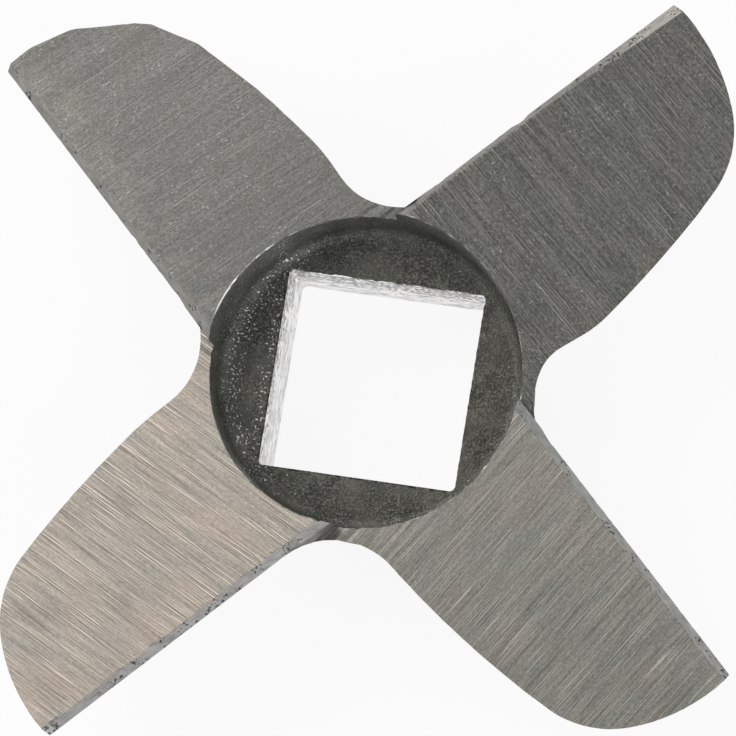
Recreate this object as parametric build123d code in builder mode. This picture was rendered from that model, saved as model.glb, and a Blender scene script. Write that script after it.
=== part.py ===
"""Meat grinder knife: a four-armed cast steel knife that turns on a square drive against the hole plate.

The knife lies on the back face of its hub, with its cutting side up.  The origin is on the axis of the
drive hole, at that back face, and X and Y run along the sides of the square hole.

Each arm is drawn in a frame of its own: +X runs out along the arm, parallel to its leading edge, and +Y
points the way the knife turns, so the leading edge is the arm's +Y side and the trailing edge its -Y side.
"""
import os
from math import radians, sin, sqrt, tan

from build123d import *

# ---- driving dimensions, in mm and degrees ----
tip_diameter = 95.0          # circle that the sharp tips turn in
knife_height = 17.2          # back face of the hub to the cutting edges
arm_count = 4
arm_turn = 46.0              # leading edges, turned from the sides of the square hole

lead_offset = 10.35          # leading side of an arm, ahead of the axis
trail_offset = 10.1          # trailing edge behind the axis, where it would pass the hub
heel_setback = 5.0           # outer trailing corner, before it is rounded: short of the tip's reach
heel_offset = 5.2            # and behind the axis
end_radius = 18.5            # crown of the arm's outer end
trail_radius = 100.0         # slight belly of the trailing edge
shoulder_radius = 11.0       # rounds the outer trailing corner

arm_draft = 11.0             # the cast walls lean in towards the back by this
arm_root_depth = 9.4         # cutting side to back of the arm, at the hub
arm_tip_depth = 6.2          # and at the tip circle
back_edge_radius = 1.2       # soft cast edge round the back of the arms

relief_angle = 9.0           # each ground face falls away behind its cutting edge by this
bevel_width = 0.9            # narrow bevel along the leading edge: across
bevel_depth = 1.0            # and down

drive_across_flats = 19.8    # square hole for the drive
drive_corner_radius = 0.5
drive_lead_in = 0.5          # chamfer round the back mouth of the hole

recess_ledge = 1.7           # round pocket in the cutting side: its rim, past the corners of the square
recess_depth = 7.6
recess_draft = 4.0
recess_corner_radius = 1.2

hub_wall = 1.8               # metal round the pocket between two arms, where it is thinnest
hub_inset = 0.3              # the hub's own wall, in from the hollow between two arms
boss_ledge = 1.4             # back face of the hub, past the corners of the square
boss_edge_radius = 0.8       # round the back face
boss_root_radius = 1.5       # where the hub meets the backs of the arms

# ---- worked out from them ----
tip_radius = tip_diameter / 2
tip_reach = sqrt(tip_radius**2 - lead_offset**2)
cutting_edge_offset = lead_offset - bevel_width
square_reach = drive_across_flats / sqrt(2)
recess_radius = square_reach + recess_ledge
recess_floor = knife_height - recess_depth
boss_radius = square_reach + boss_ledge
hub_radius = recess_radius + hub_wall
overshoot = 1.0              # how far a cut runs past the metal

# The hollow between two arms is an arc that touches both of them and just leaves the hub its wall.
mean_offset = (lead_offset + trail_offset) / 2
gap_sine = sin(radians(180 / arm_count))
root_radius = (hub_radius * gap_sine - mean_offset) / (1 - gap_sine)

# ---- plan of one arm, then of the whole knife with the hollows between its arms ----
with BuildSketch() as arm_plan:
    with BuildLine():
        tip = (tip_reach, lead_offset)
        heel = (tip_reach - heel_setback, -heel_offset)
        Line((0, lead_offset), tip)
        RadiusArc(tip, heel, end_radius)
        RadiusArc(heel, (0, -trail_offset), trail_radius)
        Line((0, -trail_offset), (0, lead_offset))
    make_face()
    fillet(arm_plan.vertices().sort_by_distance(heel)[0], shoulder_radius)

with BuildSketch(Plane.XY.offset(knife_height)) as knife_plan:
    with PolarLocations(0, arm_count, start_angle=arm_turn):
        add(arm_plan.sketch)
    root_corners = knife_plan.vertices().sort_by_distance((0, 0, knife_height))[:arm_count]
    fillet(root_corners, root_radius)

# ---- what lies under the backs of the arms, which rise from the hub to the tips ----
with BuildPart() as below_arms:
    rise = (arm_root_depth - arm_tip_depth) / (tip_radius - recess_radius)
    back_at_axis = knife_height - arm_root_depth - rise * recess_radius
    reach = tip_radius + overshoot
    with BuildSketch(Plane.XZ):
        Polygon((0, 0), (reach, 0), (reach, back_at_axis + rise * reach), (0, back_at_axis), align=None)
    revolve(axis=Axis.Z)

# ---- what the grinding takes off one arm: the relief behind its edge, and the bevel before it ----
with BuildPart() as arm_grinding:
    # The plane looks out along the arm: its x is the arm's +Y, and its y is up.
    with BuildSketch(Plane(origin=(lead_offset, 0, 0), x_dir=(0, 1, 0), z_dir=(1, 0, 0))):
        far_side = -tip_radius - overshoot
        relief_drop = (cutting_edge_offset - far_side) * tan(radians(relief_angle))
        Polygon(
            (cutting_edge_offset, knife_height),
            (far_side, knife_height - relief_drop),
            (far_side, knife_height + overshoot),
            (lead_offset, knife_height + overshoot),
            (lead_offset, knife_height - bevel_depth),
            align=None,
        )
    extrude(amount=tip_radius)

# ---- the knife ----
with BuildPart() as knife:
    # Arms: drafted walls all round, thinner towards the tips, and soft edges on the back.
    add(knife_plan.sketch)
    extrude(amount=-arm_root_depth - overshoot, taper=arm_draft)
    add(below_arms.part, mode=Mode.SUBTRACT)
    arm_backs = knife.faces().filter_by(GeomType.CONE).sort_by(SortBy.AREA)[-1]
    fillet(arm_backs.outer_wire().edges(), back_edge_radius)

    # Hub: its wall widens from the back face to just inside the hollows between the arms.
    with BuildSketch(Plane.XZ):
        hub_rim = (hub_radius - hub_inset, knife_height)
        Polygon((0, 0), (boss_radius, 0), hub_rim, (0, knife_height), align=None)
    revolve(axis=Axis.Z)
    hub_circles = knife.edges().filter_by(GeomType.CIRCLE).group_by(Axis.Z)
    fillet(hub_circles[1], boss_root_radius)
    fillet(knife.edges().group_by(Axis.Z)[0], boss_edge_radius)

    # Round pocket in the cutting side of the hub.
    with BuildSketch(Plane.XY.offset(knife_height)):
        Circle(recess_radius)
    extrude(amount=-recess_depth, taper=recess_draft, mode=Mode.SUBTRACT)
    fillet(knife.edges().filter_by_position(Axis.Z, recess_floor, recess_floor), recess_corner_radius)

    # Square drive hole, broached through the hub.
    with BuildSketch():
        RectangleRounded(drive_across_flats, drive_across_flats, drive_corner_radius)
    extrude(amount=knife_height, mode=Mode.SUBTRACT)
    chamfer(knife.faces().sort_by(Axis.Z)[0].inner_wires()[0].edges(), drive_lead_in)

    # Ground faces of the arms.
    with PolarLocations(0, arm_count, start_angle=arm_turn):
        add(arm_grinding.part, mode=Mode.SUBTRACT)

# The rounded back edges are fitted surfaces, so the file states the widest tolerance among its faces.
os.makedirs("parts", exist_ok=True)
knife.part.label = "knife"
export_step(knife.part, "parts/knife.step", precision_mode=PrecisionMode.GREATEST)
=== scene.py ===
"""A meat grinder knife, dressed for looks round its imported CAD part.

Metres, in the frame of the part: +Z points out of the cutting side, X and Y lie along the square hole.
"""
import random
from math import atan2, cos, degrees, hypot, radians, sin, tan

import bmesh
import bpy
from mathutils import Matrix, Vector, noise


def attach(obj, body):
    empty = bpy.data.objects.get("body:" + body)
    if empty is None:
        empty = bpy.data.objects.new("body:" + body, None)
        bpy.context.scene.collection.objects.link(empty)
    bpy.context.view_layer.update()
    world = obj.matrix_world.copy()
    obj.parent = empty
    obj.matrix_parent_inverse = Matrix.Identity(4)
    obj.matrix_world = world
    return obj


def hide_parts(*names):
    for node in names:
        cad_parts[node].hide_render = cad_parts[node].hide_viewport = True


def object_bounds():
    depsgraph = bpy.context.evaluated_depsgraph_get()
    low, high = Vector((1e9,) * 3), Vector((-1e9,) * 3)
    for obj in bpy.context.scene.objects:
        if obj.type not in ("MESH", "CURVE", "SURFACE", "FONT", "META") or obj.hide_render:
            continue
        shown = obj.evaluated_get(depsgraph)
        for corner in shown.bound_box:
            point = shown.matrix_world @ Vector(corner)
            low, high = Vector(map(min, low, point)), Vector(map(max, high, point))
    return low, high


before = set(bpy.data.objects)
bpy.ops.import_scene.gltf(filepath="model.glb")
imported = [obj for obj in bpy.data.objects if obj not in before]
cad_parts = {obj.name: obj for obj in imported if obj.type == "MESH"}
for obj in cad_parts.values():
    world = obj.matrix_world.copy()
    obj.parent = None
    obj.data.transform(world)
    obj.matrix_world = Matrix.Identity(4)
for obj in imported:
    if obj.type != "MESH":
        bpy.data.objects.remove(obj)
cad_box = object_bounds()


# ---- the camera ----
# A long lens almost straight above the cutting side, leaning a little towards the gap between two arms.
# It is aimed a little to one side of the middle of the pocket's mouth.
MM = 0.001
knife_height = 17.2
lean = radians(12.3)
lean_azimuth = radians(-44.0)
picture_turn = radians(-8.6)
stand_off = 600 * MM
picture_width = 72.3 * MM
film_width = 36
aim_right, aim_down = 0.62, 0.10

outwards = Vector((cos(lean_azimuth), sin(lean_azimuth), 0))
sideways = Vector((-sin(lean_azimuth), cos(lean_azimuth), 0))
tipped = outwards * cos(lean) - Vector((0, 0, 1)) * sin(lean)
towards_camera = outwards * sin(lean) + Vector((0, 0, 1)) * cos(lean)
lean_in_picture = lean_azimuth + picture_turn
right = tipped * cos(lean_in_picture) - sideways * sin(lean_in_picture)
up = tipped * sin(lean_in_picture) + sideways * cos(lean_in_picture)
aim = Vector((0, 0, knife_height * MM)) + right * aim_right * MM - up * aim_down * MM

camera = bpy.data.objects.new("camera", bpy.data.cameras.new("camera"))
camera.data.sensor_width = film_width
camera.data.lens = film_width * stand_off / picture_width
camera.data.clip_start = 0.01
camera.data.clip_end = 10
camera.matrix_world = Matrix.Translation(aim + towards_camera * stand_off) @ Matrix(
    (
        (right.x, up.x, towards_camera.x, 0),
        (right.y, up.y, towards_camera.y, 0),
        (right.z, up.z, towards_camera.z, 0),
        (0, 0, 0, 1),
    )
)
bpy.context.scene.collection.objects.link(camera)
bpy.context.scene.camera = camera
bpy.context.scene.view_settings.view_transform = "Standard"


# ---- the table under it ----
# A wide white table.  The camera and the steel see it glow white, but a tenth of it is still plain
# paint, which takes the knife's shadow.  It lies a hair below the back of the hub, so that the two never
# share a plane.
table_half_width = 1.5
table_gap = 0.03
table_white = 0.9
glow_share = 0.9

floor_mesh = bmesh.new()
bmesh.ops.create_grid(floor_mesh, x_segments=1, y_segments=1, size=table_half_width)
bmesh.ops.translate(floor_mesh, verts=floor_mesh.verts, vec=(0, 0, -table_gap * MM))
floor = bpy.data.objects.new("floor", bpy.data.meshes.new("floor"))
floor_mesh.to_mesh(floor.data)
floor_mesh.free()
bpy.context.scene.collection.objects.link(floor)

white = bpy.data.materials.new("white_table")
white.use_nodes = True
tree = white.node_tree
tree.nodes.clear()
output = tree.nodes.new("ShaderNodeOutputMaterial")
mix = tree.nodes.new("ShaderNodeMixShader")
paint = tree.nodes.new("ShaderNodeBsdfDiffuse")
paint.inputs["Color"].default_value = (table_white, table_white, table_white, 1)
glow = tree.nodes.new("ShaderNodeEmission")
rays = tree.nodes.new("ShaderNodeLightPath")
seen = rays.outputs["Is Camera Ray"]
for other in ("Is Glossy Ray", "Is Transmission Ray"):
    either = tree.nodes.new("ShaderNodeMath")
    either.operation = "MAXIMUM"
    tree.links.new(seen, either.inputs[0])
    tree.links.new(rays.outputs[other], either.inputs[1])
    seen = either.outputs[0]
share = tree.nodes.new("ShaderNodeMath")
share.operation = "MULTIPLY"
share.inputs[1].default_value = glow_share
tree.links.new(seen, share.inputs[0])
tree.links.new(share.outputs[0], mix.inputs[0])
tree.links.new(paint.outputs[0], mix.inputs[1])
tree.links.new(glow.outputs[0], mix.inputs[2])
tree.links.new(mix.outputs[0], output.inputs[0])
floor.data.materials.append(white)


# ---- the light ----
# A studio with pale walls under a dim ceiling, one large soft box up to the left of the picture, and a
# weaker one across from it.  The ground steel mirrors all of them.
wall_light = (0.75, 0.76, 0.77, 1)
ceiling_light = (0.29, 0.295, 0.29, 1)
walls_end, ceiling_starts = 0.25, 0.95

world = bpy.data.worlds.new("studio")
world.use_nodes = True
bpy.context.scene.world = world
sky = world.node_tree
direction = sky.nodes.new("ShaderNodeTexCoord")
height = sky.nodes.new("ShaderNodeSeparateXYZ")
fade = sky.nodes.new("ShaderNodeValToRGB")
fade.color_ramp.interpolation = "EASE"
fade.color_ramp.elements[0].position = walls_end
fade.color_ramp.elements[0].color = wall_light
fade.color_ramp.elements[1].position = ceiling_starts
fade.color_ramp.elements[1].color = ceiling_light
sky.links.new(direction.outputs["Generated"], height.inputs[0])
sky.links.new(height.outputs["Z"], fade.inputs[0])
sky.links.new(fade.outputs[0], sky.nodes["Background"].inputs["Color"])


def soft_box(name, picture_angle, off_zenith, distance, size, power, colour):
    """A square soft light that faces the knife, at an angle in degrees as it is seen in the picture."""
    lamp = bpy.data.objects.new(name, bpy.data.lights.new(name, "AREA"))
    lamp.data.shape = "SQUARE"
    lamp.data.size = size
    lamp.data.energy = power
    lamp.data.color = colour
    azimuth = radians(picture_angle) - picture_turn
    away = Vector(
        (cos(azimuth) * sin(off_zenith), sin(azimuth) * sin(off_zenith), cos(off_zenith))
    )
    lamp.location = away * distance
    lamp.rotation_mode = "QUATERNION"
    lamp.rotation_quaternion = away.to_track_quat("Z", "Y")
    bpy.context.scene.collection.objects.link(lamp)


soft_box("key", 137, radians(52), distance=1.0, size=1.2, power=8.0, colour=(1, 0.97, 0.93))
soft_box("fill", -45, radians(58), distance=1.0, size=0.8, power=3.0, colour=(0.97, 0.98, 1))


# ---- the knife: the casting ----
# One steel casting.  Its outside and the pocket keep the skin of the mould, the square hole is broached,
# the back of the hub is faced, and the arms, their leading flanks and bevels are ground.
# It starts as a merged copy of the CAD node's mesh.  Sizes in mm.
BARE_CAST, POCKET, DRIVE_HOLE, BACK_FACE = range(4)
EDGE_BEVEL, GROUND, POCKET_RIM = 4, 8, 12
X, Y, Z = Vector((1, 0, 0)), Vector((0, 1, 0)), Vector((0, 0, 1))
arm_azimuths = [46, 136, 226, 316]
edge_at, bevel_width = 10.35, 0.9
pocket_floor = 9.6

# Limits that tell its surfaces apart, each a little past the surface it is for: how far out the pocket,
# the sides and the corners of the hole lie at most, and the height that all the ground faces lie above.
pocket_within, hole_sides_within, hole_corners_within = 15.75, 10.5, 14.6
ground_above = 11


def turned(azimuth):
    """The level direction at that azimuth in degrees."""
    return Vector((cos(radians(azimuth)), sin(radians(azimuth)), 0))


def arm_facing(normal, side):
    """Which arm leans that way: its ground face to the trailing side (-90), its bevel ahead (90)."""
    return round((degrees(atan2(normal.y, normal.x)) - side - arm_azimuths[0]) / 90) % 4


def on_leading_flank(middle, normal):
    """Whether a wall is the flat one ahead of an arm, 8 to 11 mm from its axis, which is ground too."""
    forwards = turned(arm_azimuths[arm_facing(normal, 90)] + 90)
    faces_forwards = -0.25 < normal.z < -0.15 and normal.xy.normalized().dot(forwards.xy) > 0.9999
    return faces_forwards and 8 < middle.dot(forwards) < 11


def kind_of(middle, normal):
    """Which kind of surface a face of the casting is, by its middle and the way it faces."""
    radius = hypot(middle.x, middle.y)
    in_pocket = radius < pocket_within and middle.z > pocket_floor - 0.05
    if in_pocket and (middle.z < ground_above or normal.z < 0.5):
        return POCKET
    in_hole = radius < hole_corners_within and max(abs(middle.x), abs(middle.y)) < hole_sides_within
    if in_hole and middle.z < pocket_floor + 0.05 and normal.z > -0.9:
        return DRIVE_HOLE
    if normal.z < -0.99 and middle.z < 0.05:
        return BACK_FACE
    if middle.z > ground_above and normal.z > 0.98:
        return GROUND + arm_facing(normal, -90)
    if (middle.z > 16 and 0.6 < normal.z < 0.75) or on_leading_flank(middle, normal):
        return EDGE_BEVEL + arm_facing(normal, 90)
    return BARE_CAST


knife = bmesh.new()
knife.from_mesh(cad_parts["knife"].data)
bmesh.ops.remove_doubles(knife, verts=knife.verts, dist=0.001 * MM)
bmesh.ops.dissolve_limit(
    knife,
    angle_limit=radians(0.3),
    verts=knife.verts,
    edges=knife.edges,
    use_dissolve_boundaries=False,
)
knife.normal_update()
for face in knife.faces:
    face.material_index = kind_of(face.calc_center_median() / MM, face.normal)


# The wheel leaves a thin bright burr round the rim of the pocket: a narrow chamfer that catches the
# light.
burr_width = 0.12
rim = [
    edge
    for edge in knife.edges
    if {face.material_index for face in edge.link_faces} & {POCKET}
    and max(face.material_index for face in edge.link_faces) >= GROUND
]
burr = bmesh.ops.bevel(
    knife,
    geom=rim,
    offset=burr_width * MM,
    offset_type="OFFSET",
    affect="EDGES",
    segments=1,
    profile=0.5,
    material=-1,
)
for face in burr["faces"]:
    face.material_index = POCKET_RIM


def with_edges_and_corners(faces):
    return list({*faces, *(e for f in faces for e in f.edges), *(v for f in faces for v in f.verts)})


def slice_round(faces, turns):
    """Cuts those faces along planes through the axis, at those turns in degrees."""
    parts = with_edges_and_corners(faces)
    for turn in turns:
        plane = Vector((-sin(radians(turn)), cos(radians(turn)), 0))
        parts = bmesh.ops.bisect_plane(
            knife, geom=parts, dist=1e-8, plane_co=(0, 0, 0), plane_no=plane
        )["geom"]


def slice_across(faces, direction, cuts):
    """Cuts those faces along planes square to direction, at those distances from the axis in mm."""
    parts = with_edges_and_corners(faces)
    for cut in sorted(cuts):
        found = bmesh.ops.bisect_plane(
            knife, geom=parts, dist=1e-8, plane_co=direction * cut * MM, plane_no=direction
        )["geom"]
        limit = cut * MM + 1e-7
        parts = with_edges_and_corners(
            {
                part
                for part in found
                if isinstance(part, bmesh.types.BMFace)
                and max(v.co.dot(direction) for v in part.verts) > limit
            }
        )


def of_kind(*kinds):
    """The faces of those kinds, as they are cut so far."""
    return [face for face in knife.faces if face.material_index in kinds]


def steps(start, stop, pitch):
    """Places from start to stop, that pitch apart."""
    return [start + pitch * i for i in range(int((stop - start) / pitch) + 1)]


def upright(faces):
    """Those of the faces that stand more or less upright."""
    return [face for face in faces if abs(face.normal.z) < 0.35]


# The grinding lines: shallow steps across each arm, parallel to the stroke of the wheel.  Each arm was
# ground at its own slant.  A seam just behind the bevel moves with it where the bevel is widened, below.
random.seed(7)
stroke_turns = [2.6, -1.4, 16.6, 9.6]
closest_lines, widest_lines = 0.14, 0.55
deepest_line = 0.006
first_line, last_line = 6.0, 50
seam_behind_bevel = 9.25
line_depths = []
for arm, azimuth in enumerate(arm_azimuths):
    across = Z.cross(turned(azimuth - 90 + stroke_turns[arm]))
    lines = [first_line]
    while lines[-1] < last_line:
        lines.append(lines[-1] + random.uniform(closest_lines, widest_lines))
    slice_across(of_kind(GROUND + arm), Z.cross(turned(azimuth)), [seam_behind_bevel])
    slice_across(of_kind(GROUND + arm), across, lines)
    line_depths.append((across, lines, [random.uniform(0, deepest_line) for line in lines]))


# The end of the second arm is ground in flats by hand, so its wall gets upright cuts to turn at.
flat_ended = turned(arm_azimuths[1])
flats_start = 24
end_wall = [
    face
    for face in upright(of_kind(BARE_CAST))
    if face.calc_center_median().dot(flat_ended) > flats_start * MM
]
slice_across(end_wall, Z.cross(flat_ended), steps(-9.6, 9.6, 0.6))

# Fine enough a net over the cast skin, the pocket and the broached walls to carry their roughness,
# and finer still along the cutting edges, for the nicks in them.
pocket_wall = [face for face in of_kind(POCKET) if face.normal.z < 0.3]
slice_round(pocket_wall + of_kind(POCKET_RIM), steps(0, 179, 1.5))
for arm, azimuth in enumerate(arm_azimuths):
    slice_across(of_kind(EDGE_BEVEL + arm), turned(azimuth), steps(8.0, 46.2, 0.28))
    slice_across(of_kind(EDGE_BEVEL + arm), Z.cross(turned(azimuth)), [9.7, 9.95, 10.2])
for along in (X, Y):
    backs = [face for face in of_kind(BARE_CAST) if face.normal.z < -0.98]
    slice_across(backs, along, steps(-40, 40, 0.9))
slice_across(upright(of_kind(BARE_CAST)), Z, steps(1.0, 16.5, 0.5))
pocket_wall = [face for face in of_kind(POCKET) if face.normal.z < 0.3]
slice_across(pocket_wall, Z, steps(9.9, knife_height, 0.25))
slice_across(of_kind(DRIVE_HOLE), Z, steps(0.8, 9.3, 0.3))
for along, across in ((X, Y), (Y, X)):
    hole_walls = [face for face in of_kind(DRIVE_HOLE) if abs(face.normal.dot(across)) > 0.99]
    slice_across(hole_walls, along, steps(-9.2, 9.2, 0.26))
for along in (X, Y):
    flat_floor = [face for face in of_kind(POCKET) if face.normal.z > 0.98]
    slice_across(flat_floor, along, steps(-15.4, 15.4, 0.26))


def ramp(value, start, stop):
    """0 up to start, 1 from stop on."""
    return min(max((value - start) / (stop - start), 0), 1)


# Nicks in the leading edges: how far out along the arm, how far ahead of its axis, how wide and how deep.
# The large ones are placed one by one, and each edge has small ones anywhere.
nicks = [
    [(27.2, 10.2, 0.9, 0.16), (13.9, 10.3, 0.7, 0.10), (38.6, 9.5, 0.4, 0.06)],
    [(13.4, 10.3, 0.6, 0.12), (24.5, 10.2, 0.5, 0.08), (41.0, 9.6, 0.4, 0.06)],
    [(16.0, 10.2, 0.7, 0.22), (45.6, 9.6, 0.6, 0.16), (40.3, 10.2, 0.6, 0.14), (31.0, 10.3, 0.5, 0.08)],
    [(34.9, 9.7, 0.4, 0.12), (37.8, 9.5, 0.4, 0.10), (41.9, 9.5, 0.6, 0.16), (45.5, 9.9, 0.3, 0.10)],
]
small_nicks = 16
nicks_above = 15.9
for arm_nicks in nicks:
    for _ in range(small_nicks):
        width = random.uniform(0.25, 0.5)
        place_out, place_ahead = random.uniform(12, 45.5), random.uniform(9.5, edge_at)
        arm_nicks.append((place_out, place_ahead, width, width * random.uniform(0.05, 0.14)))


def nick_depth(arm, place):
    """How deep the nicks in an arm's bevel go at that place, in mm."""
    if place.z < nicks_above:
        return 0
    turn = radians(arm_azimuths[arm])
    out = place.x * cos(turn) + place.y * sin(turn)
    ahead = place.y * cos(turn) - place.x * sin(turn)
    deepest = 0
    for nick_out, nick_ahead, width, depth in nicks[arm]:
        away = hypot(out - nick_out, ahead - nick_ahead) / width
        if away < 1:
            deepest = max(deepest, depth * (1 - away * away))
    return deepest


def line_depth(arm, place):
    """How deep the grinding has cut at that place of an arm, in mm."""
    across, lines, depths = line_depths[arm]
    t = place.dot(across)
    for i in range(len(lines) - 1):
        if t <= lines[i + 1]:
            return depths[i] + (depths[i + 1] - depths[i]) * ramp(t, lines[i], lines[i + 1])
    return 0


# The rim of the pocket is torn where the wheel broke out of it, most of all at these turns, that far to
# each side of them.
torn_turns = [(93, 14), (268, 12), (182, 8), (355, 8)]


def rim_tear(place):
    """How far the rim of the pocket is torn back at that place, in mm."""
    turn = degrees(atan2(place.y, place.x))
    worst = max(
        max(0, 1 - abs((turn - middle + 180) % 360 - 180) / reach) for middle, reach in torn_turns
    )
    teeth = max(0, noise.noise(Vector((place.x * 2.0, place.y * 2.0, 0))) + 0.1)
    return (0.05 + 0.42 * worst) * teeth


def lumps(place, per_mm, seed=(0, 0, 0)):
    """Noise from 0 to 1, with about that many lumps to a mm."""
    return 0.5 + 0.5 * noise.noise(place * per_mm + Vector(seed))


def pocket_roughness(place):
    """The skin of the mould, which gives way to the torn rim at the top of the pocket's wall."""
    skin = 0.13 * lumps(place, 0.55) + 0.10 * lumps(place, 1.9, (7, 3, 1))
    near_rim = ramp(place.z, 13, 16) if place.xy.length > 15 else 0
    return skin * (1 - near_rim) + rim_tear(place) * near_rim


def broach_marks(place):
    """Strokes of the broach along the hole, and metal torn out at its mouth, most at -X and +Y."""
    along_wall = place.x if abs(place.y) > abs(place.x) else place.y
    stroke = 0.5 + 0.5 * noise.noise(Vector((along_wall * 2.4, place.z * 0.12, 5)))
    torn = max(0, 0.35 + noise.noise(place * 2.2)) * ramp(place.z, 8.2, pocket_floor)
    torn_depth = 0.16 if place.x < -9 or place.y > 9 else 0.05
    return 0.06 * stroke + torn_depth * torn


def worn_depth(kind, place):
    """How far that surface lies under its true form, in mm."""
    if kind == POCKET_RIM:
        return rim_tear(place)
    if kind >= GROUND:
        return line_depth(kind - GROUND, place)
    if kind >= EDGE_BEVEL:
        return nick_depth(kind - EDGE_BEVEL, place) + 0.015 * lumps(place, 1.7)
    if kind == POCKET:
        return pocket_roughness(place)
    if kind == DRIVE_HOLE:
        return broach_marks(place)
    if kind == BARE_CAST:
        return 0.05 * lumps(place, 0.7, (0, 9, 0)) + 0.03 * lumps(place, 2.3)
    return 0


# The arms are finished by hand, so they differ a little: how much wider each is at its trailing side, and
# how much longer.  The width comes in beyond the root of the arm, and the length from half way out.  Both
# fade to nothing at the bevel.
spare_metal = [(1.25, 0.5), (0.7, 1.0), (0.4, 0.3), (0.0, 0.0)]
arm_start, full_width_at = 14, 22
length_starts, full_length_at = 26, 42
at_bevel, at_trailing_side = 9.4, -6.6


def as_finished(place):
    """Where that point of the drawing lies on the arm as it was finished, in mm."""
    for azimuth, (wider, longer) in zip(arm_azimuths, spare_metal):
        out, ahead = turned(azimuth), turned(azimuth + 90)
        reach, side = place.dot(out), place.dot(ahead)
        if reach > arm_start and abs(side) < 14:
            off_hub = ramp(reach, arm_start, full_width_at)
            share = ramp(side, at_bevel, at_trailing_side) * off_hub**2 * (3 - 2 * off_hub)
            towards_end = ramp(reach, length_starts, full_length_at)
            return place + (out * longer * towards_end - ahead * wider) * share
    return place


# The flats at the end of the second arm: which way each faces from the arm's own direction, and its
# distance in mm.  They lean in with the wall below the ground face.
end_flats = [(-11.5, 44.33), (-30.9, 37.97), (-41.3, 33.85), (-60.5, 24.0), (-75.3, 15.83)]
wall_draft = tan(radians(11))
relief = tan(radians(9))


def as_flattened(place):
    """Where that point of the second arm's end lies once its flats are ground."""
    azimuth = arm_azimuths[1]
    if place.dot(turned(azimuth)) < flats_start:
        return place
    side = place.dot(turned(azimuth + 90))
    below = max(knife_height - (edge_at - bevel_width - side) * relief - place.z, 0)
    for turn, distance in end_flats:
        facing = turned(azimuth + turn)
        place = place - facing * max(place.dot(facing) - distance + below * wall_draft, 0)
    return place


# The first arm's bevel is stoned wider towards the tip: what is added to its width up to the first of
# these reaches, and from the second on.
added_inboard, added_at_tip = -0.2, 0.55
widens_from, widens_to = 28, 46


def as_stoned(place):
    """The first arm's bevel, widened, with the ground face behind it moved back to meet it."""
    out, ahead = turned(arm_azimuths[0]), turned(arm_azimuths[0] + 90)
    reach, side = place.dot(out), place.dot(ahead)
    if reach < arm_start or side < 9 or place.z < 16:
        return place
    added = added_inboard + (added_at_tip - added_inboard) * ramp(reach, widens_from, widens_to)
    back = added * ramp(side, edge_at, edge_at - bevel_width)
    return place - ahead * back - Z * back * relief


# The cuts leave slivers beside the corners they pass, which would fold over when the skin is roughened,
# so those go.  Then every point moves to its place on the finished knife, and in by the wear of its
# surfaces.
sliver_width = 0.012
sharp_from = radians(25)

bmesh.ops.dissolve_degenerate(knife, dist=sliver_width * MM, edges=knife.edges)
knife.normal_update()
moved = []
for vertex in knife.verts:
    place = vertex.co / MM
    normals = {}
    for face in vertex.link_faces:
        kind = face.material_index
        normals[kind] = normals.get(kind, Vector()) + face.normal * face.calc_area()
    shift = Vector()
    for kind, normal in normals.items():
        shift -= normal.normalized() * worn_depth(kind, place)
    moved.append((as_flattened(as_finished(as_stoned(place))) + shift) * MM)
for vertex, place in zip(knife.verts, moved):
    vertex.co = [min(max(c, low), high) for c, low, high in zip(place, *cad_box)]
for face in knife.faces:
    face.smooth = face.material_index < BACK_FACE
for edge in knife.edges:
    kinds = {face.material_index for face in edge.link_faces}
    edge.smooth = len(kinds) == 1 or edge.calc_face_angle(0) < sharp_from

mesh = bpy.data.meshes.new("ground_knife")
knife.to_mesh(mesh)
knife.free()
ground_knife = bpy.data.objects.new("ground_knife", mesh)
bpy.context.scene.collection.objects.link(ground_knife)


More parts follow.
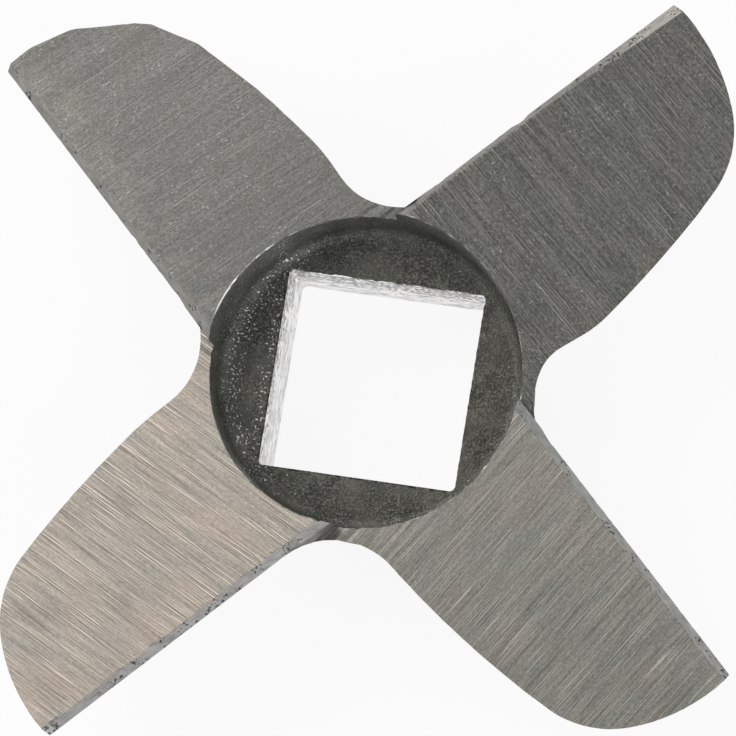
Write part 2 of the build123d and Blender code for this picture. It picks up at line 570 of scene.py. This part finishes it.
# ---- the knife: its finishes ----
# One steel, in the finishes that its making left on it, in the order of the kinds above: mould skin, oily
# pocket, broached hole, faced back, four stoned bevels, four ground faces and the burr.  Some carry
# painted
# light as well: glints, highlights, shade, and tones set to how each arm is lit.  All are patterns on the
# part's own coordinates.
class Finish:
    """A material built node by node, round one metal shader."""

    def __init__(self, name, metallic, roughness):
        self.material = bpy.data.materials.new(name)
        self.material.use_nodes = True
        self.nodes = self.material.node_tree.nodes
        self.links = self.material.node_tree.links
        self.shader = self.nodes["Principled BSDF"]
        self.shader.inputs["Metallic"].default_value = metallic
        self.shader.inputs["Roughness"].default_value = roughness
        self.place = self.nodes.new("ShaderNodeTexCoord").outputs["Object"]

    def noise(self, size, turn=0, detail=2, seed=0, aside=0.0):
        """Cloudy noise whose features have that size in mm, along and across a turned direction.

        Each seed moves it to another place, and aside shifts it across that direction by so many mm.
        """
        mapping = self.nodes.new("ShaderNodeMapping")
        mapping.vector_type = "TEXTURE"
        mapping.inputs["Rotation"].default_value = (0, 0, turn)
        mapping.inputs["Scale"].default_value = [side * MM for side in size]
        sideways = Vector((-sin(turn), cos(turn), 0))
        start = Vector((seed * 13, seed * 21, seed * 8)) + sideways * aside
        mapping.inputs["Location"].default_value = start * MM
        self.links.new(self.place, mapping.inputs["Vector"])
        texture = self.nodes.new("ShaderNodeTexNoise")
        texture.inputs["Scale"].default_value = 1
        texture.inputs["Detail"].default_value = detail
        self.links.new(mapping.outputs[0], texture.inputs["Vector"])
        return texture.outputs["Fac"]

    def between(self, value, low, high, start=0.0, end=1.0):
        """start where value is below low, end above high."""
        spread = self.nodes.new("ShaderNodeMapRange")
        spread.inputs["From Min"].default_value = low
        spread.inputs["From Max"].default_value = high
        spread.inputs["To Min"].default_value = start
        spread.inputs["To Max"].default_value = end
        self.links.new(value, spread.inputs["Value"])
        return spread.outputs[0]

    def near(self, value, middle, reach):
        """1 where value is at the middle, 0 from that reach on."""
        away = self.maths("ABSOLUTE", self.maths("SUBTRACT", value, middle), 0)
        return self.between(away, 0.0, reach, 1.0, 0.0)

    def along(self, axis):
        """How far along that axis the surface lies, in metres."""
        split = self.nodes.new("ShaderNodeSeparateXYZ")
        self.links.new(self.place, split.inputs[0])
        return split.outputs[axis]

    def ahead_of(self, azimuth):
        """How far ahead of the middle of the arm at that azimuth the surface lies, in metres."""
        turned_place = self.nodes.new("ShaderNodeVectorMath")
        turned_place.operation = "DOT_PRODUCT"
        self.links.new(self.place, turned_place.inputs[0])
        turned_place.inputs[1].default_value = turned(azimuth + 90)
        return turned_place.outputs["Value"]

    def from_axis(self):
        """How far from the axis of the knife the surface lies, in metres."""
        squares = [self.maths("POWER", self.along(axis), 2) for axis in "XY"]
        return self.maths("SQRT", self.total(*squares), 0)

    def maths(self, operation, first, second):
        """One step of arithmetic on two values, either of which may be a number."""
        step = self.nodes.new("ShaderNodeMath")
        step.operation = operation
        for socket, value in zip(step.inputs, (first, second)):
            if isinstance(value, (int, float)):
                socket.default_value = value
            else:
                self.links.new(value, socket)
        return step.outputs[0]

    def product(self, first, second):
        return self.maths("MULTIPLY", first, second)

    def total(self, first, second):
        return self.maths("ADD", first, second)

    def blend(self, share, first, second):
        """Goes from the first colour to the second as the share goes from 0 to 1."""
        mix = self.nodes.new("ShaderNodeMix")
        mix.data_type = "RGBA"
        self.links.new(share, mix.inputs["Factor"])
        for socket, value in ((mix.inputs[6], first), (mix.inputs[7], second)):
            if isinstance(value, tuple):
                socket.default_value = (*value, 1)
            else:
                self.links.new(value, socket)
        return mix.outputs[2]

    def bump(self, height, distance):
        """Raises the surface by up to that distance in mm where height is 1."""
        bump = self.nodes.new("ShaderNodeBump")
        bump.inputs["Distance"].default_value = distance * MM
        self.links.new(height, bump.inputs["Height"])
        return bump.outputs[0]

    def finish(self, colour, roughness=None, normal=None):
        """Joins those to the shader, and gives the material the next number on the knife."""
        self.links.new(colour, self.shader.inputs["Base Color"])
        if roughness:
            self.links.new(roughness, self.shader.inputs["Roughness"])
        if normal:
            self.links.new(normal, self.shader.inputs["Normal"])
        mesh.materials.append(self.material)


def times(colour, strength):
    """That colour, darker below a strength of 1 and lighter above."""
    return tuple(c * strength for c in colour)


# The skin that the mould left: dull dark grey, with a fine sandy grain.
cast = Finish("cast_skin", 0.6, 0.6)
skin_dark, skin_pale, skin_grain = (0.13, 0.13, 0.125), (0.19, 0.185, 0.175), (0.30, 0.30, 0.28)
sand = cast.noise((0.25, 0.25, 0.25), detail=3)
patches = cast.noise((4, 4, 4), seed=2)
colour = cast.blend(cast.between(patches, 0.35, 0.65), skin_dark, skin_pale)
colour = cast.blend(cast.between(sand, 0.55, 0.75, 0, 0.6), colour, skin_grain)
cast.finish(colour, cast.between(sand, 0.3, 0.7, 0.7, 0.45), cast.bump(sand, 0.06))

# The pocket keeps the same skin, dark with old oil, pale on its high grains and along its creases.
pocket = Finish("pocket_skin", 0.5, 0.6)
oily_dark, oily_pale = (0.115, 0.115, 0.10), (0.16, 0.16, 0.138)
pit_colour, high_grain, grain_glint_colour = (0.035, 0.035, 0.030), (0.27, 0.27, 0.25), (0.78, 0.77, 0.74)
sand = pocket.noise((0.2, 0.2, 0.2), detail=3)
patches = pocket.noise((2.5, 2.5, 2.5), seed=5)
smooth = pocket.between(pocket.noise((3.5, 3.5, 3.5), seed=8), 0.42, 0.60)
colour = pocket.blend(pocket.between(patches, 0.35, 0.65), oily_dark, oily_pale)
dark = pocket.product(pocket.between(sand, 0.60, 0.42, 0, 0.75), pocket.between(smooth, 0, 1, 1, 0.35))
colour = pocket.blend(dark, colour, pit_colour)
pale = pocket.product(pocket.between(sand, 0.56, 0.68, 0, 0.6), pocket.between(smooth, 0, 1, 1, 0.3))
colour = pocket.blend(pale, colour, high_grain)
crease = pocket.near(pocket.noise((2.2, 2.2, 2.2), detail=1, seed=6), 0.5, 0.012)
colour = pocket.blend(pocket.product(crease, 0.35), colour, high_grain)

# Bright grains over the whole pocket, crowded into painted glints on its -X side, where the light
# glances: by the edge of the hole and in the corner between floor and wall.
glint_side = pocket.between(pocket.along("X"), -0.0045, -0.0105)
# A painted glint along the corner between floor and wall.
corner = pocket.near(pocket.from_axis(), 0.0140, 0.0016)
glint_hole_edge = pocket.near(pocket.along("X"), -0.0106, 0.0012)
crowd = pocket.product(glint_side, pocket.maths("MAXIMUM", corner, glint_hole_edge))
crowd = pocket.total(pocket.product(crowd, 0.16), pocket.product(glint_side, 0.05))
crowd = pocket.total(crowd, pocket.noise((0.22, 0.22, 0.22), detail=0, seed=3))
clumps = pocket.between(pocket.noise((0.9, 0.9, 0.9), detail=1, seed=9), 0.3, 0.7, -0.07, 0.05)
grains = pocket.between(pocket.total(crowd, clumps), 0.82, 0.92)
colour = pocket.blend(grains, colour, grain_glint_colour)
pocket.finish(colour, pocket.between(sand, 0.3, 0.7, 0.65, 0.4), pocket.bump(sand, 0.08))

# The walls of the square hole are broached: bright, streaked where the teeth dragged, and torn at the
# mouth, furthest down on the +Y wall.  A bright lip runs round the mouth.
broached = Finish("broached_wall", 1.0, 0.30)
cool_steel, warm_steel = (0.90, 0.905, 0.915), (0.95, 0.91, 0.885)
streak_colour, torn_colour, lip_colour = (0.38, 0.385, 0.385), (0.19, 0.19, 0.18), (0.95, 0.95, 0.95)
streaks = broached.noise((1.5, 1.5, 0.8), detail=3)
smears = broached.noise((0.5, 0.5, 0.7), detail=2, seed=4)
tints = broached.noise((2.5, 2.5, 2.0), detail=1, seed=7)
colour = broached.blend(broached.between(tints, 0.42, 0.58), cool_steel, warm_steel)
colour = broached.blend(broached.between(streaks, 0.60, 0.34, 0, 0.85), colour, streak_colour)
depth = broached.along("Z")
to_plus_y = broached.product(broached.between(broached.along("Y"), 0.0, 0.0095), 0.0026)
mouth = broached.between(broached.total(depth, to_plus_y), 0.0056, 0.0096, 0.0, 0.19)
torn = broached.between(broached.total(smears, mouth), 0.60, 0.74)
colour = broached.blend(torn, colour, torn_colour)
lip = broached.total(streaks, broached.between(depth, 0.0086, 0.0094, 0.0, 0.14))
lip = broached.product(broached.between(lip, 0.58, 0.66), broached.between(depth, 0.0084, 0.0088))
colour = broached.blend(lip, colour, lip_colour)
broached.finish(colour, None, broached.bump(smears, 0.05))

# The back of the hub is faced flat, in long fine marks.
faced = Finish("faced_back", 1.0, 0.4)
faced_dark, faced_pale = (0.30, 0.30, 0.29), (0.44, 0.43, 0.42)
marks = faced.noise((0.15, 12, 5), turn=radians(20), detail=2)
colour = faced.blend(faced.between(marks, 0.3, 0.7), faced_dark, faced_pale)
faced.finish(colour, None, faced.bump(marks, 0.01))

# The bevel along each cutting edge is stoned by hand, finer than the faces, over pits left by the
# casting.  The pits come near the edge only.  Each arm's bevel has its own tone, painted lighter or
# darker to how brightly it shows in the light.
bevel_tones_as_lit = [(0.235, 0.228, 0.215), (0.30, 0.29, 0.27), (0.26, 0.255, 0.245), (0.33, 0.33, 0.315)]
bevel_pit = (0.06, 0.06, 0.06)
for arm, tone_as_lit in enumerate(bevel_tones_as_lit):
    bevel = Finish(f"stoned_bevel_{arm + 1}", 1.0, 0.38)
    turn = radians(arm_azimuths[arm])
    fine = bevel.noise((1.2, 0.12, 0.4), turn, detail=2, seed=arm)
    cloud = bevel.noise((2.2, 2.2, 2.2), seed=arm + 3)
    colour = bevel.blend(bevel.between(cloud, 0.35, 0.65), tone_as_lit, times(tone_as_lit, 1.22))
    colour = bevel.blend(bevel.between(fine, 0.58, 0.35, 0, 0.4), colour, times(tone_as_lit, 0.5))
    patch = bevel.between(bevel.noise((1.3, 1.3, 1.3), detail=1, seed=arm + 5), 0.45, 0.62, 0, 0.20)
    patch = bevel.total(patch, bevel.between(bevel.along("Z"), 0.0125, 0.0155, -0.2, 0.0))
    pits = bevel.total(bevel.noise((0.28, 0.28, 0.28), detail=1, seed=arm + 7), patch)
    pits = bevel.between(pits, 0.74, 0.82)
    colour = bevel.blend(pits, colour, bevel_pit)
    bevel.finish(colour, None, bevel.bump(bevel.maths("SUBTRACT", fine, pits), 0.02))

# The faces of the arms are ground on a wheel, each in one pass, so their lines run their own way.
# Each has its tone and tint, partly painted light set to how bright and warm that arm shows in the light,
# and the strength of its hair lines, scratches, grain and bright dots.
face_looks = [
    ((0.262, 0.272, 0.252), (0.292, 0.272, 0.253), 0.8, 0.9, 1.1, 0.8),
    ((0.280, 0.281, 0.268), (0.290, 0.282, 0.265), 0.25, 0.5, 0.7, 0.6),
    ((0.287, 0.270, 0.244), (0.322, 0.282, 0.248), 0.80, 1.0, 0.5, 0.2),
    ((0.307, 0.312, 0.286), (0.337, 0.316, 0.286), 0.70, 0.9, 0.6, 0.2),
]
dot_colour = (0.70, 0.69, 0.66)
# Two of them are painted paler towards their leading side, that strongly: painted light against the shade
# and dark reflections that fall there.
painted_light_arms = {1: 0.6, 3: 0.3}
painted_light_colour = (0.385, 0.366, 0.336)
# Each scratch is a real mark, drawn as a painted highlight with a painted shade beside it, as a groove
# catches and hides the light; the shade lies this far beside it in mm.
scratch_size, shade_aside = (8.0, 0.11, 400), 0.09
for arm, (tone_as_lit, tint, hairs, scratches, grains, dots) in enumerate(face_looks):
    turn = radians(arm_azimuths[arm] - 90 + stroke_turns[arm])
    ground = Finish(f"ground_face_{arm + 1}", 1.0, 0.42)
    cloud = ground.noise((6, 4, 6), turn, detail=1, seed=arm + 31)
    colour = ground.blend(ground.between(cloud, 0.38, 0.62), tone_as_lit, tint)
    if arm in painted_light_arms:
        # Painted light in patches, stronger towards the leading side.
        painted_light = ground.noise((2.0, 2.0, 2.0), detail=3, seed=arm + 71)
        ahead = ground.ahead_of(arm_azimuths[arm])
        painted_light = ground.total(painted_light, ground.between(ahead, 0.0020, 0.0092, -0.3, 0.16))
        colour = ground.blend(ground.between(painted_light, 0.45, 0.68, 0, painted_light_arms[arm]), colour, painted_light_colour)
    grain = ground.noise((0.30, 0.20, 0.30), turn, detail=1, seed=arm + 51)
    colour = ground.blend(ground.between(grain, 0.52, 0.30, 0, 0.6 * grains), colour, times(tone_as_lit, 0.5))
    colour = ground.blend(ground.between(grain, 0.50, 0.72, 0, 0.6 * grains), colour, times(tone_as_lit, 1.6))
    hair = ground.noise((5.5, 0.10, 400), turn, detail=1, seed=arm + 11)
    colour = ground.blend(ground.between(hair, 0.46, 0.32, 0, 0.7 * hairs), colour, times(tone_as_lit, 0.35))
    colour = ground.blend(ground.between(hair, 0.60, 0.72, 0, 0.6 * hairs), colour, times(tint, 1.9))
    # The scratches: a painted highlight, and its painted shade beside it.
    scratch_highlight = ground.noise(scratch_size, turn, detail=1, seed=arm + 1)
    scratch_highlight = ground.between(scratch_highlight, 0.63, 0.70)
    shade = ground.noise(scratch_size, turn, detail=1, seed=arm + 1, aside=shade_aside)
    shade = ground.between(shade, 0.63, 0.70)
    colour = ground.blend(ground.product(shade, 0.75 * scratches), colour, times(tone_as_lit, 0.35))
    colour = ground.blend(ground.product(scratch_highlight, 0.85 * scratches), colour, times(tint, 2.2))
    crowd = ground.between(ground.noise((3, 3, 3), detail=1, seed=arm + 41), 0.40, 0.60, -0.05, 0.04)
    dot = ground.total(ground.noise((0.26, 0.20, 0.26), turn, detail=0, seed=arm + 61), crowd)
    colour = ground.blend(ground.between(dot, 0.72, 0.84, 0, dots), colour, dot_colour)
    height = ground.maths("SUBTRACT", ground.between(hair, 0.35, 0.65, 0, 0.6), shade)
    bands = ground.noise((9, 0.4, 400), turn, detail=1, seed=arm + 21)
    roughness = ground.between(bands, 0.3, 0.7, 0.38, 0.46)
    ground.finish(colour, roughness, ground.bump(height, 0.005 * scratches))

# The burr round the pocket's rim, partly painted highlight: bright in patches, with a painted highlight
# at one spot on the -X side.
burr_finish = Finish("rim_burr", 0.8, 0.35)
burr_dark, burr_highlight, rim_highlight_colour = (0.17, 0.17, 0.16), (0.62, 0.61, 0.58), (0.98, 0.96, 0.93)
wire = burr_finish.noise((1.4, 1.4, 1.4), detail=2)
colour = burr_finish.blend(burr_finish.between(wire, 0.45, 0.65), burr_dark, burr_highlight)
# The painted highlight on the rim, at one spot on the -X side.
rim_highlight = burr_finish.product(
    burr_finish.near(burr_finish.along("X"), -0.0147, 0.0016),
    burr_finish.near(burr_finish.along("Y"), 0.0056, 0.0030),
)
burr_finish.finish(burr_finish.blend(burr_finish.between(rim_highlight, 0.05, 0.3), colour, rim_highlight_colour))

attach(ground_knife, "root")
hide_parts("knife")
